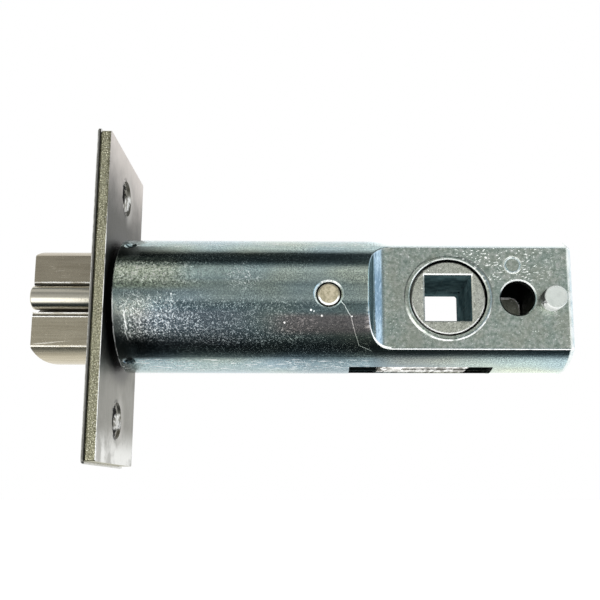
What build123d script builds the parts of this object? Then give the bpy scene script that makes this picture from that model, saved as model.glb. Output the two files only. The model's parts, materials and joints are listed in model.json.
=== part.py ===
from build123d import *
import math
import os

# Tubular deadlatch. Millimetres.
# Sizes along X are counted from the faceplate's front face, as a backset is.
# The finished pieces are moved so that the origin lies at the centre of the
# faceplate's rear face, its seat, midway between the two screw holes.
# +X runs from the faceplate along the tube to the tail, +Z is up along the
# faceplate's length, Y is the spindle axis.

# ---------------------------------------------------------------- dimensions
# faceplate (two layers)
PLATE_H = 57.0            # cover plate height
PLATE_W = 25.4            # cover plate width
PLATE_T = 0.55            # cover plate thickness
BACK_H = 56.2             # backing plate height
BACK_W = 25.0             # backing plate width
BACK_X = 2.3              # rear face of the backing plate
SCREW_PITCH = 41.0        # faceplate screw hole pitch
SCREW_R = 3.2             # screw hole radius
SINK_R = 4.9              # countersink radius at the front face

# latch bolt
BOLT_R = 10.05            # radius of the bolt's round body
BOLT_Z = -0.36            # the bolt's axis lies a little below the tube's
BOLT_TIP = -11.5          # projection in front of the faceplate
BOLT_REAR = 8.5           # rear face of the bolt
BOLT_FLAT = -6.1          # flat on the near side
THROW = 11.4              # bolt travel
OPEN_GAP = 0.2            # running gap of the bolt in the faceplate

# deadlocking plunger
PLG_R = 2.1
PLG_Z = 0.22
GROOVE_R, GROOVE_Z = 2.42, 0.03   # groove of the bolt that the plunger lies in
LIP_LOW, LIP_TOP = -3.07, 2.87    # edges of the shallow ledges beside the groove
LIP_DEPTH = 0.15
PLG_Y = -5.65
PLG_TIP = -11.6
PLG_TRAVEL = 11.3
STEM_Y = -4.8
STEM_R = 1.0
CAM_R = 1.4
STEM_END = 38.4

# case
TUBE_R = 11.9
BORE_R = 10.75
RIM_X = 3.45              # front rim of the tube
TAIL_X = 81.5             # rear end of the tube
FLAT_Y = 7.9              # half thickness over the tail's flats
CAV_Y = 6.4               # half width of the tail cavity
CAV_R = 10.6
CAV_X = 44.3              # start of the flat-sided cavity
STEP_R = 4.0              # hollow radius between round body and flat
STEP_X = 50.15            # end of that radius on the flat
FLAT_EASE = 0.3           # rounding along the flats' edges
SLOT_X0, SLOT_X1 = 43.1, 68.2
SLOT_Y = 3.5
HUB_X = 60.0              # backset
HUB_BORE_R = 6.7
LAND_R, LAND_BASE_R, LAND_H = 7.2, 7.6, 0.12
FIX_X, FIX_R = 72.0, 3.0  # fixing hole
PIN_X, PIN_Z, PIN_R = 39.45, -0.45, 1.85
PIN_HOLE_R = 2.12
PEG_X, PEG_Z, PEG_R, PEG_TOP = 77.8, -0.35, 2.0, -10.5
PLUG_X0, PLUG_X1 = 75.6, 80.9
PACK_X0, PACK_X1, PACK_Y, PACK_Z0, PACK_Z1 = 67.9, 75.4, 4.3, -8.0, 3.15
STRIP_X0, STRIP_X1 = 48.3, 64.2   # strip in the bottom window
STRIP_Z0, STRIP_Z1 = -11.2, -10.4
STRIP_SLIT_X = 52.6

# hub
HUB_R = 6.35
HUB_FACE = 7.8
SQUARE = 8.1
FAR_CORNER_R = 0.5         # rounded corners of the square in the far bush
FLANGE_R = 7.6
CORE_R = 6.3
CORE_Y = 4.0
ARM_L = 10.4
ARM_TIP_R = 1.3
ARM_Y = 0.8
ARM_SLOT_Y = 1.0          # half width of the slots the arms pass through
ARM_ANGLE = 33.57         # rest lean of the arms towards the bolt, degrees

# retractor
RET_Y = 2.9
WEB_X0, WEB_X1 = 29.6, 32.6
RAIL_Z0, RAIL_Z1 = 7.0, 10.05
RAIL_END = 59.0
LUG_X = 55.85

# springs and guide
GUIDE_X0, GUIDE_X1 = 24.0, 27.0
ROD_R = 2.0

os.makedirs("parts", exist_ok=True)


# ------------------------------------------------------------------- helpers
def box(x0, x1, y0, y1, z0, z1):
    return Pos((x0 + x1) / 2, (y0 + y1) / 2, (z0 + z1) / 2) * Box(x1 - x0, y1 - y0, z1 - z0)


def cylx(r, x0, x1, y=0.0, z=0.0):
    return Pos((x0 + x1) / 2, y, z) * Rot(0, 90, 0) * Cylinder(r, x1 - x0)


def cyly(r, y0, y1, x=0.0, z=0.0):
    return Pos(x, (y0 + y1) / 2, z) * Rot(-90, 0, 0) * Cylinder(r, y1 - y0)


def cylz(r, z0, z1, x=0.0, y=0.0):
    return Pos(x, y, (z0 + z1) / 2) * Cylinder(r, z1 - z0)


def conex(r0, r1, x0, x1, y=0.0, z=0.0):
    return Pos((x0 + x1) / 2, y, z) * Rot(0, 90, 0) * Cone(r0, r1, x1 - x0)


def coney(r0, r1, y0, y1, x=0.0, z=0.0):
    return Pos(x, (y0 + y1) / 2, z) * Rot(-90, 0, 0) * Cone(r0, r1, y1 - y0)


def prism_z(points, z0, z1):
    # closed outline in X and Y, extruded along Z
    face = Pos(0, 0, z0) * make_face(Polyline(*[(p[0], p[1], 0) for p in points], close=True))
    return extrude(face, z1 - z0, dir=(0, 0, 1))


def prism_y(points, y0, y1):
    # closed outline in X and Z, extruded along Y
    face = make_face(Polyline(*[(p[0], y0, p[1]) for p in points], close=True))
    return extrude(face, y1 - y0, dir=(0, 1, 0))


def coil_x(r, wire, x0, x1, turns, y=0.0, z=0.0):
    # compression spring along X between x0 and x1
    h = (x1 - x0) - 2 * wire
    path = Helix(pitch=h / turns, height=h, radius=r, center=(x0 + wire, y, z), direction=(1, 0, 0))
    sec = Plane(origin=path @ 0, z_dir=path % 0) * Circle(wire)
    return sweep(sec, path=path, is_frenet=True)


def coil_y(r, wire, y0, y1, turns, x=0.0, z=0.0):
    h = (y1 - y0) - 2 * wire
    path = Helix(pitch=h / turns, height=h, radius=r, center=(x, y0 + wire, z), direction=(0, 1, 0))
    sec = Plane(origin=path @ 0, z_dir=path % 0) * Circle(wire)
    return sweep(sec, path=path, is_frenet=True)


def save(shape, name):
    # from the front face's count to the seat's origin
    export_step(Pos(-BACK_X, 0, 0) * shape, "parts/" + name + ".step")


# ---------------------------------------------------------------- faceplates
def bolt_opening(x0, x1):
    opening = cylx(BOLT_R + OPEN_GAP, x0, x1, 0, BOLT_Z)
    opening -= box(x0 - 1, x1 + 1, -20, BOLT_FLAT - OPEN_GAP, -20, 20)
    opening += cylx(PLG_R + OPEN_GAP, x0, x1, PLG_Y, PLG_Z)
    return opening


outer = box(0, PLATE_T, -PLATE_W / 2, PLATE_W / 2, -PLATE_H / 2, PLATE_H / 2)
outer = fillet(outer.edges().filter_by(Axis.X), 0.7)
outer = chamfer(outer.faces().sort_by(Axis.X)[0].edges(), 0.15)
outer -= bolt_opening(-1, PLATE_T + 1)
inner = box(PLATE_T, BACK_X, -BACK_W / 2, BACK_W / 2, -BACK_H / 2, BACK_H / 2)
inner = fillet(inner.edges().filter_by(Axis.X), 0.5)
inner = chamfer(inner.faces().sort_by(Axis.X)[0].edges(), 0.2)
inner -= bolt_opening(PLATE_T - 1, BACK_X + 1)
SINK_END = SINK_R - SCREW_R      # depth of the countersink (45 degree cone)
for s in (-1, 1):
    z = s * SCREW_PITCH / 2
    cut = conex(SINK_R + 0.5, SCREW_R, -0.5, SINK_END, 0, z) + cylx(SCREW_R, SINK_END - 0.01, BACK_X + 1, 0, z)
    outer -= cut
    inner -= cut
save(outer, "outer_faceplate")
save(inner, "inner_faceplate")

# neck ring between the backing plate and the tube
collar = cylx(BORE_R - 0.03, BACK_X, 9.5) - cylx(BOLT_R + 0.16, BACK_X - 1, 10, 0, BOLT_Z)
save(collar, "front_collar")

# ---------------------------------------------------------------------- case
case = cylx(TUBE_R, RIM_X, TAIL_X)
case = chamfer(case.edges().filter_by(GeomType.CIRCLE).sort_by(Axis.X)[0], 0.2)
for s in (-1, 1):
    # flat with a hollow radius at its front end
    cut = box(STEP_X - STEP_R, TAIL_X + 1, s * (FLAT_Y + 0), s * (FLAT_Y + 8), -20, 20) if s > 0 else \
        box(STEP_X - STEP_R, TAIL_X + 1, -(FLAT_Y + 8), -FLAT_Y, -20, 20)
    hollow = box(STEP_X - STEP_R, STEP_X, s * FLAT_Y if s > 0 else -(FLAT_Y + STEP_R),
                 (FLAT_Y + STEP_R) if s > 0 else -FLAT_Y, -20, 20)
    hollow -= cylz(STEP_R, -21, 21, STEP_X, s * (FLAT_Y + STEP_R))
    case -= (cut - hollow)
# eased edges where the flats and their hollow radii meet the round
flat_edges = [e for e in case.edges() if 46 < e.center().X < 81 and abs(e.center().Y) > FLAT_Y - 0.1
              and abs(e.center().Z) > 2]
case = fillet(flat_edges, FLAT_EASE)
# rounded rear end
case = fillet(case.faces().sort_by(Axis.X)[-1].edges(), 0.8)
# raised rims round the hub bores
for s in (-1, 1):
    if s < 0:
        rim = coney(LAND_R, LAND_BASE_R + 0.2, -FLAT_Y - LAND_H, -FLAT_Y + 0.2, HUB_X, 0)
    else:
        rim = coney(LAND_BASE_R + 0.2, LAND_R, FLAT_Y - 0.2, FLAT_Y + LAND_H, HUB_X, 0)
    case += rim
# bore and flat-sided tail cavity
case -= cylx(BORE_R, RIM_X - 1, CAV_X)
cavity = cylx(CAV_R, CAV_X - 1, TAIL_X + 1) & box(CAV_X - 1, TAIL_X + 1, -CAV_Y, CAV_Y, -20, 20)
case -= cavity
# hub bores
case -= cyly(HUB_BORE_R, -20, 20, HUB_X, 0)
case -= coney(HUB_BORE_R + 0.45, HUB_BORE_R, -FLAT_Y - LAND_H - 0.3, -FLAT_Y - LAND_H + 0.15, HUB_X, 0)
case -= coney(HUB_BORE_R, HUB_BORE_R + 0.45, FLAT_Y + LAND_H - 0.15, FLAT_Y + LAND_H + 0.3, HUB_X, 0)
# fixing hole in the near wall, with a small edge break
case -= cyly(FIX_R, -20, -CAV_Y + 1, FIX_X, 0)
case -= coney(FIX_R + 0.5, FIX_R, -FLAT_Y - 0.25, -FLAT_Y + 0.25, FIX_X, 0)
# peg holes
case -= cyly(PEG_R + 0.01, -20, 20, PEG_X, PEG_Z)
# windows, top and bottom
for s in (-1, 1):
    case -= box(SLOT_X0, SLOT_X1, -SLOT_Y, SLOT_Y, 9.0 if s > 0 else -20, 20 if s > 0 else -9.0)
# pin holes, opened out at the surface
for s in (-1, 1):
    y0, y1 = (-20, -9) if s < 0 else (9, 20)
    case -= cyly(PIN_R + 0.01, y0, y1, PIN_X, PIN_Z)
    y0, y1 = (-20, -10.95) if s < 0 else (10.95, 20)
    case -= cyly(PIN_HOLE_R, y0, y1, PIN_X, PIN_Z)
    if s < 0:
        case -= coney(PIN_HOLE_R + 0.9, PIN_HOLE_R, -12.3, -11.5, PIN_X, PIN_Z)
    else:
        case -= coney(PIN_HOLE_R, PIN_HOLE_R + 0.9, 11.5, 12.3, PIN_X, PIN_Z)
# staking dimples that hold the tube on the neck ring
for ang, off in ((50, -1), (-64, -1), (50, 1), (-64, 1)):
    a = math.radians(ang)
    case -= Pos(5.25, off * 12.7 * math.cos(a), 12.7 * math.sin(a)) * Sphere(1.35)
# shallow round punch mark on the near flat
mark = cyly(1.45, -FLAT_Y - 1, -FLAT_Y + 0.14, 71.2, 5.8) - cyly(1.12, -FLAT_Y - 2, -FLAT_Y + 1, 71.2, 5.8)
case -= mark
save(case, "case_tube")

# tail block and its peg
plug = cylx(CAV_R - 0.05, PLUG_X0, PLUG_X1) & box(PLUG_X0, PLUG_X1, -CAV_Y + 0.05, CAV_Y - 0.05, -20, 20)
plug = chamfer(plug.faces().sort_by(Axis.X)[-1].edges(), 0.4)
plug -= cyly(PEG_R + 0.01, -20, 20, PEG_X, PEG_Z)
save(plug, "tail_plug")
peg = cyly(PEG_R, PEG_TOP, FLAT_Y, PEG_X, PEG_Z)
peg = fillet(peg.edges().filter_by(GeomType.CIRCLE).sort_by(Axis.Y)[0], 0.25)
peg = chamfer(peg.edges().filter_by(GeomType.CIRCLE).sort_by(Axis.Y)[-1], 0.15)
save(peg, "tail_peg")

# packing plate behind the hub, on the far wall, seen inside the fixing hole
pack = box(PACK_X0, PACK_X1, PACK_Y, CAV_Y, PACK_Z0, PACK_Z1)
corner = [e for e in pack.edges().filter_by(Axis.Y) if e.center().X > PACK_X1 - 0.1 and e.center().Z > 0]
pack = fillet(corner, 2.0)
pack = chamfer(pack.faces().sort_by(Axis.Y)[0].edges(), 0.2)
save(pack, "packing_plate")

# slit strip across the bottom window; the lower hub arm passes through its slit
strip = box(STRIP_X0, STRIP_X1, -SLOT_Y, SLOT_Y, STRIP_Z0, STRIP_Z1)
strip &= cylx(TUBE_R - 0.05, STRIP_X0 - 1, STRIP_X1 + 1)
strip -= box(STRIP_SLIT_X, STRIP_X1 + 1, -ARM_SLOT_Y, ARM_SLOT_Y, -13, -9)
save(strip, "window_strip")

# --------------------------------------------------------------- guide block
guide = cylx(BORE_R - 0.05, GUIDE_X0, GUIDE_X1)
cheek = cylx(BORE_R - 0.05, GUIDE_X1 - 0.5, 43.4) & box(GUIDE_X1 - 0.5, 43.4, 6.9, 20, -4.0, 4.0)
guide += cheek
guide -= cylx(ROD_R + 0.08, GUIDE_X0 - 1, GUIDE_X1 + 1)
guide -= cylx(STEM_R + 0.08, GUIDE_X0 - 1, GUIDE_X1 + 1, STEM_Y, 0)
guide -= cyly(PIN_R + 0.01, 0, 20, PIN_X, PIN_Z)
save(guide, "guide_block")

gpin = cyly(PIN_R, 6.9, 11.8, PIN_X, PIN_Z)
gpin = chamfer(gpin.edges().filter_by(GeomType.CIRCLE).sort_by(Axis.Y)[-1], 0.25)
save(gpin, "guide_pin")

# pawl pivot pin, headed on the inside
ppin = cyly(PIN_R, -11.8, -7.0, PIN_X, PIN_Z) + cyly(2.6, -7.4, -6.9, PIN_X, PIN_Z)
ppin = chamfer(ppin.edges().filter_by(GeomType.CIRCLE).sort_by(Axis.Y)[0], 0.25)
save(ppin, "pawl_pin")

# ---------------------------------------------------------------------- bolt
bolt = cylx(BOLT_R, BOLT_TIP, BOLT_REAR, 0, BOLT_Z)
bolt -= box(BOLT_TIP - 1, BOLT_REAR + 1, -20, BOLT_FLAT, -20, 20)
# small edge break along the flat's two long edges
long_edges = [e for e in bolt.edges().filter_by(GeomType.LINE)
              if abs(e.center().Y - BOLT_FLAT) < 0.01 and abs(e.center().Z) > 5]
bolt = chamfer(long_edges, 0.2)
# convex bevel on the far side
p0, p1 = (BOLT_TIP, -5.6), (-0.4, BOLT_R)
pm = (-8.2, 2.3)
arc = ThreePointArc((p0[0], p0[1], 0), (pm[0], pm[1], 0), (p1[0], p1[1], 0))
rest = Polyline((p1[0], p1[1], 0), (p1[0], 12, 0), (-13, 12, 0), (-13, p0[1], 0), (p0[0], p0[1], 0))
bevel = extrude(Pos(0, 0, -12) * make_face([arc, rest]), 24, dir=(0, 0, 1))
bolt -= bevel
# groove for the plunger, with a shallow ledge on each side
bolt -= cylx(GROOVE_R, BOLT_TIP - 1, BOLT_REAR + 1, PLG_Y, GROOVE_Z)
bolt -= box(BOLT_TIP - 1, BOLT_REAR + 1, BOLT_FLAT - 0.5, BOLT_FLAT + LIP_DEPTH, LIP_LOW, LIP_TOP)
# rod bore and pin hole
bolt -= cylx(ROD_R + 0.01, 2.0, BOLT_REAR + 1)
bolt -= cylz(1.01, -5.0, 5.0, 5.5, 0)
save(bolt, "latch_bolt")

rod = cylx(ROD_R, 2.2, WEB_X1 - 0.9) + conex(ROD_R, ROD_R + 0.9, WEB_X1 - 0.9, WEB_X1)
rod -= cylz(1.01, -5.0, 5.0, 5.5, 0)
save(rod, "draw_rod")
rpin = cylz(1.0, -4.8, 4.8, 5.5, 0)
save(rpin, "rod_pin")

# ----------------------------------------------------------------- retractor
ret = box(WEB_X0, WEB_X1, -RET_Y, RET_Y, -RAIL_Z1, RAIL_Z1)
for s in (-1, 1):
    z0, z1 = (RAIL_Z0, RAIL_Z1) if s > 0 else (-RAIL_Z1, -RAIL_Z0)
    ret += box(WEB_X1 - 0.5, RAIL_END, -RET_Y, RET_Y, z0, z1)
    # guide ear that runs in the top window
    if s > 0:
        ret += box(46.0, 56.5, -RET_Y, RET_Y, RAIL_Z1 - 0.5, 11.2)
    # open slot for the hub arm, and the relieved underside of the lug
    c0, c1 = (0, 12) if s > 0 else (-12, 0)
    ret -= box(45.0, LUG_X, -ARM_SLOT_Y, ARM_SLOT_Y, c0, c1)
    c0, c1 = (5, 8.3) if s > 0 else (-8.3, -5)
    ret -= box(LUG_X - 0.5, RAIL_END + 1, -ARM_SLOT_Y, ARM_SLOT_Y, c0, c1)
# lug that the pawl stops
ret += box(WEB_X0, WEB_X1, -9.0, -RET_Y + 0.5, 2.6, 4.2)
ret -= cylx(ROD_R + 0.01, WEB_X0 - 1, WEB_X1 + 1)
ret -= conex(ROD_R + 0.01, ROD_R + 0.91, WEB_X1 - 0.9, WEB_X1)
save(ret, "retractor")

# ----------------------------------------------------------------------- hub
def square_hole(y0, y1):
    return box(HUB_X - SQUARE / 2, HUB_X + SQUARE / 2, y0, y1, -SQUARE / 2, SQUARE / 2)


def arm(sgn):
    a = math.radians(ARM_ANGLE)
    u = (-math.sin(a), sgn * math.cos(a))            # along the arm
    v = (math.cos(a), sgn * math.sin(a))             # towards the lug
    pts = []
    for lu, lv in ((5.2, 0.95), (ARM_L, 0.95), (ARM_L, -0.95), (5.2, -2.6)):
        pts.append((HUB_X + u[0] * lu + v[0] * lv, u[1] * lu + v[1] * lv))
    tip = cyly(ARM_TIP_R, -ARM_Y, ARM_Y, HUB_X + u[0] * ARM_L, u[1] * ARM_L)
    return prism_y(pts, -ARM_Y, ARM_Y) + tip


cam = cyly(CORE_R, -CORE_Y, CORE_Y, HUB_X, 0) + arm(1) + arm(-1)
cam -= square_hole(-10, 10)
save(cam, "hub_cam")

for nm, s in (("hub_bush_near", -1), ("hub_bush_far", 1)):
    if s < 0:
        bush = cyly(FLANGE_R, -6.2, -CORE_Y - 0.02, HUB_X, 0) + cyly(HUB_R, -HUB_FACE, -6.0, HUB_X, 0)
    else:
        bush = cyly(FLANGE_R, CORE_Y + 0.02, 6.2, HUB_X, 0) + cyly(HUB_R, 6.0, HUB_FACE, HUB_X, 0)
    face = bush.faces().sort_by(Axis.Y)[0 if s < 0 else -1]
    bush = chamfer(face.edges(), 0.18)
    hole = square_hole(-10, 10)
    if s > 0:
        hole = fillet(hole.edges().filter_by(Axis.Y), FAR_CORNER_R)
    bush -= hole
    face = bush.faces().sort_by(Axis.Y)[0 if s < 0 else -1]
    bush = chamfer(face.inner_wires()[0].edges(), 0.25)
    save(bush, nm)

# ------------------------------------------------------------------- plunger
plg = cylx(PLG_R, PLG_TIP, BOLT_REAR, PLG_Y, PLG_Z)
plg = fillet(plg.edges().filter_by(GeomType.CIRCLE).sort_by(Axis.X)[0], 0.35)
plg -= cylx(STEM_R + 0.01, 3.0, BOLT_REAR + 1, STEM_Y, 0)
save(plg, "deadlock_plunger")

stem = cylx(STEM_R, 3.2, STEM_END, STEM_Y, 0)
stem += conex(STEM_R, CAM_R, 33.0, 34.0, STEM_Y, 0)
stem += cylx(CAM_R, 34.0, STEM_END, STEM_Y, 0)
save(stem, "plunger_stem")

# ---------------------------------------------------------------------- pawl
PAWL_Y0, PAWL_Y1 = -9.2, -7.6
pawl = cyly(2.8, PAWL_Y0, PAWL_Y1, PIN_X, PIN_Z)
pawl += prism_y([(PIN_X, PIN_Z + 2.8), (33.3, PIN_Z + 2.8), (33.3, 0.2), (35.0, -3.4), (37.6, -3.4), (PIN_X, PIN_Z - 2.8)],
                PAWL_Y0, PAWL_Y1)
pawl += cyly(0.75, PAWL_Y1 - 0.3, -4.4, 36.3, -2.5)
pawl -= cyly(PIN_R + 0.06, -20, 0, PIN_X, PIN_Z)
save(pawl, "locking_pawl")

# ------------------------------------------------------------------- springs
save(coil_x(2.65, 0.4, BOLT_REAR + 0.05, GUIDE_X0 - 0.05, 4.0), "bolt_spring")
save(coil_x(1.3, 0.18, BOLT_REAR + 0.05, GUIDE_X0 - 0.05, 9.0, STEM_Y, 0), "plunger_spring")
save(coil_y(2.35, 0.16, -10.25, -9.25, 2.0, PIN_X, PIN_Z), "pawl_spring")
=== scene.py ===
import json
import math

import bpy
from mathutils import Matrix, Vector


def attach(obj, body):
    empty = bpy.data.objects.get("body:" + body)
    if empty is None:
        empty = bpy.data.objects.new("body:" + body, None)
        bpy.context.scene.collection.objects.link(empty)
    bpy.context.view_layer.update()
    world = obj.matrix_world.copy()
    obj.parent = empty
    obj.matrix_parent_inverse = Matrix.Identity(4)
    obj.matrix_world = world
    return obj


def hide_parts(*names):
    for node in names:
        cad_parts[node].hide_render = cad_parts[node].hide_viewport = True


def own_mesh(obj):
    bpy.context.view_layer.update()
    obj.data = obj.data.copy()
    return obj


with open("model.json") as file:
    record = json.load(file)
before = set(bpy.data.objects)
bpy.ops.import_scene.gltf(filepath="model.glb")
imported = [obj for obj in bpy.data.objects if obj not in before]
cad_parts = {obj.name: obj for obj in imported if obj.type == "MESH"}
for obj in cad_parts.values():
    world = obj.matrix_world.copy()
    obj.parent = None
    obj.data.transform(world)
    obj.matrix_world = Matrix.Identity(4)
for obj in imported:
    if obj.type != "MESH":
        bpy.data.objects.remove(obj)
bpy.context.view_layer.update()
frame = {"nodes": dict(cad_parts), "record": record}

scene = bpy.context.scene
SX = -0.0023            # seat origin: places below are counted from the faceplate's front face


# ------------------------------------------------------------------ node tools
class Mat:
    """One procedural metal or plastic, built from nodes in the part's own frame (metres)."""

    def __init__(self, name, metallic=1.0, ior=1.45):
        self.m = bpy.data.materials.new(name)
        self.m.use_nodes = True
        self.nt = self.m.node_tree
        self.nt.nodes.clear()
        self.out = self.node("ShaderNodeOutputMaterial")
        self.p = self.node("ShaderNodeBsdfPrincipled")
        self.nt.links.new(self.p.outputs["BSDF"], self.out.inputs["Surface"])
        self.p.inputs["Metallic"].default_value = metallic
        self.p.inputs["IOR"].default_value = ior
        tc = self.node("ShaderNodeTexCoord")
        sh = self.node("ShaderNodeVectorMath")
        sh.operation = "ADD"
        sh.inputs[1].default_value = (-SX, 0, 0)
        self.nt.links.new(tc.outputs["Object"], sh.inputs[0])
        self.co = sh.outputs[0]
        geo = self.node("ShaderNodeNewGeometry")
        self.nor = geo.outputs["Normal"]
        self.point = geo.outputs["Pointiness"]

    def node(self, kind):
        return self.nt.nodes.new(kind)

    def put(self, sock, v):
        if hasattr(v, "is_output"):
            self.nt.links.new(v, sock)
        else:
            sock.default_value = v

    def sep(self, vec):
        n = self.node("ShaderNodeSeparateXYZ")
        self.put(n.inputs[0], vec)
        return n.outputs[0], n.outputs[1], n.outputs[2]

    def comb(self, x, y, z):
        n = self.node("ShaderNodeCombineXYZ")
        for i, v in enumerate((x, y, z)):
            self.put(n.inputs[i], v)
        return n.outputs[0]

    def map(self, vec=None, loc=(0, 0, 0), rot=(0, 0, 0), scale=(1, 1, 1)):
        n = self.node("ShaderNodeMapping")
        self.put(n.inputs["Vector"], self.co if vec is None else vec)
        n.inputs["Location"].default_value = loc
        n.inputs["Rotation"].default_value = [math.radians(a) for a in rot]
        n.inputs["Scale"].default_value = scale
        return n.outputs[0]

    def noise(self, scale, detail=3.0, rough=0.55, vec=None, dist=0.0):
        n = self.node("ShaderNodeTexNoise")
        self.put(n.inputs["Vector"], self.co if vec is None else vec)
        n.inputs["Scale"].default_value = scale
        n.inputs["Detail"].default_value = detail
        n.inputs["Roughness"].default_value = rough
        n.inputs["Distortion"].default_value = dist
        return n.outputs["Fac"]

    def noise3(self, scale, detail=2.0, vec=None):
        n = self.node("ShaderNodeTexNoise")
        self.put(n.inputs["Vector"], self.co if vec is None else vec)
        n.inputs["Scale"].default_value = scale
        n.inputs["Detail"].default_value = detail
        return n.outputs["Color"]

    def voro(self, scale, vec=None, feature="F1", rand=1.0, out="Distance"):
        n = self.node("ShaderNodeTexVoronoi")
        n.feature = feature
        self.put(n.inputs["Vector"], self.co if vec is None else vec)
        n.inputs["Scale"].default_value = scale
        n.inputs["Randomness"].default_value = rand
        return n.outputs[out]

    def math(self, op, a, b=0.0, c=0.0):
        n = self.node("ShaderNodeMath")
        n.operation = op
        self.put(n.inputs[0], a)
        self.put(n.inputs[1], b)
        self.put(n.inputs[2], c)
        return n.outputs[0]

    def vadd(self, a, b, scale=1.0):
        s = self.node("ShaderNodeVectorMath")
        s.operation = "MULTIPLY_ADD"
        self.put(s.inputs[0], b)
        s.inputs[1].default_value = (scale, scale, scale)
        self.put(s.inputs[2], a)
        return s.outputs[0]

    def rng(self, v, a, b, lo=0.0, hi=1.0, smooth=True):
        n = self.node("ShaderNodeMapRange")
        n.interpolation_type = "SMOOTHSTEP" if smooth else "LINEAR"
        self.put(n.inputs["Value"], v)
        n.inputs["From Min"].default_value = a
        n.inputs["From Max"].default_value = b
        n.inputs["To Min"].default_value = lo
        n.inputs["To Max"].default_value = hi
        return n.outputs["Result"]

    def ramp(self, fac, stops, interp="LINEAR"):
        n = self.node("ShaderNodeValToRGB")
        n.color_ramp.interpolation = interp
        el = n.color_ramp.elements
        while len(el) < len(stops):
            el.new(0.5)
        for e, (pos, col) in zip(el, stops):
            e.position = pos
            e.color = (*col, 1.0) if len(col) == 3 else col
        self.put(n.inputs["Fac"], fac)
        return n.outputs["Color"]

    def mix(self, fac, a, b, blend="MIX"):
        n = self.node("ShaderNodeMix")
        n.data_type = "RGBA"
        n.blend_type = blend
        self.put(n.inputs[0], fac)
        for sock, v in ((n.inputs[6], a), (n.inputs[7], b)):
            if isinstance(v, (tuple, list)):
                v = (*v[:3], 1.0)
            self.put(sock, v)
        return n.outputs[2]

    def lerp(self, fac, a, b):
        n = self.node("ShaderNodeMix")
        n.data_type = "FLOAT"
        self.put(n.inputs[0], fac)
        self.put(n.inputs[2], a)
        self.put(n.inputs[3], b)
        return n.outputs[0]

    def bump(self, height, strength, distance, normal=None):
        n = self.node("ShaderNodeBump")
        n.inputs["Strength"].default_value = strength
        n.inputs["Distance"].default_value = distance
        self.put(n.inputs["Height"], height)
        if normal is not None:
            self.put(n.inputs["Normal"], normal)
        return n.outputs["Normal"]

    # fine lines along one direction: many short scratches
    def lines(self, rot, across, along, cut, width=0.06, wobble=0.0, wob_scale=300.0):
        vec = self.co
        if wobble:
            vec = self.vadd(self.co, self.noise3(wob_scale, 1.0), wobble)
        v = self.map(self.map(vec, loc=(rot[1] * 0.013, 0.0, rot[1] * 0.007), rot=rot), scale=(along, across, across))
        n = self.noise(1.0, 0.0, 0.5, vec=v)
        return self.rng(n, cut, cut + width)

    # one round scratch in the XZ plane
    def ring(self, x, z, r, w, jitter=None):
        X, Y, Z = self.sep(self.co if jitter is None else jitter)
        dx = self.math("SUBTRACT", X, x)
        dz = self.math("SUBTRACT", Z, z)
        d = self.math("SQRT", self.math("ADD", self.math("MULTIPLY", dx, dx), self.math("MULTIPLY", dz, dz)))
        return self.rng(self.math("ABSOLUTE", self.math("SUBTRACT", d, r)), w, 0.0)

    # one straight scratch in the XZ plane from a to b
    def seg(self, a, b, w, jitter=None):
        X, Y, Z = self.sep(self.co if jitter is None else jitter)
        ux, uz = b[0] - a[0], b[1] - a[1]
        L = math.hypot(ux, uz)
        ux, uz = ux / L, uz / L
        dx = self.math("SUBTRACT", X, a[0])
        dz = self.math("SUBTRACT", Z, a[1])
        t = self.math("ADD", self.math("MULTIPLY", dx, ux), self.math("MULTIPLY", dz, uz))
        s = self.math("ABSOLUTE", self.math("SUBTRACT", self.math("MULTIPLY", dx, uz), self.math("MULTIPLY", dz, ux)))
        on = self.math("MULTIPLY", self.rng(t, 0, L * 0.15), self.rng(t, L, L * 0.85))
        return self.math("MULTIPLY", on, self.rng(s, w, 0.0))

    def hyp(self, u, v):
        return self.math("SQRT", self.math("ADD", self.math("MULTIPLY", u, u), self.math("MULTIPLY", v, v)))

    def mul(self, *vs):
        r = vs[0]
        for v in vs[1:]:
            r = self.math("MULTIPLY", r, v)
        return r

    def top(self, *vs):
        r = vs[0]
        for v in vs[1:]:
            r = self.math("MAXIMUM", r, v)
        return r

    # 1 between lo and hi, falling to 0 over s on either side
    def band(self, v, lo, hi, s):
        return self.mul(self.rng(v, lo - s, lo), self.rng(v, hi + s, hi))

    # distance from an axis along Y through (x, z)
    def away(self, x, z):
        X, Y, Z = self.sep(self.co)
        return self.hyp(self.math("SUBTRACT", X, x), self.math("SUBTRACT", Z, z))

    # thin curling lines: contours of a noise field, broken into short strokes
    def curl(self, scale, width, cut, loc=(0, 0, 0), detail=1.0, stretch=(1, 1, 1)):
        v = self.map(loc=loc, scale=stretch)
        n = self.noise(scale, detail, 0.5, vec=v)
        line = self.rng(self.math("ABSOLUTE", self.math("SUBTRACT", n, 0.5)), width, width * 0.25)
        gate = self.rng(self.noise(scale * 0.8, 1.0, 0.5, vec=self.map(loc=(loc[0] + 0.3, 0.2, 0.1), scale=stretch)), cut, cut + 0.05)
        return self.mul(line, gate)

    # scattered dots: a share of the cells of a Voronoi pattern
    def dots(self, scale, size, share, loc=(0, 0, 0)):
        v = self.map(loc=loc)
        n = self.node("ShaderNodeTexVoronoi")
        self.put(n.inputs["Vector"], v)
        n.inputs["Scale"].default_value = scale
        pick, _, _ = self.sep(n.outputs["Color"])
        return self.mul(self.rng(n.outputs["Distance"], size, size * 0.4), self.rng(pick, 1.0 - share, 1.0 - share + 0.02))

    # one small spot on the surface, in X and Z
    def spot(self, x, z, r):
        return self.rng(self.away(x, z), r, r * 0.45)

    # layers: colour, roughness and metalness under a mask
    def base(self, color, rough, metal=1.0):
        self.c, self.r, self.k = color, rough, metal

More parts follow.
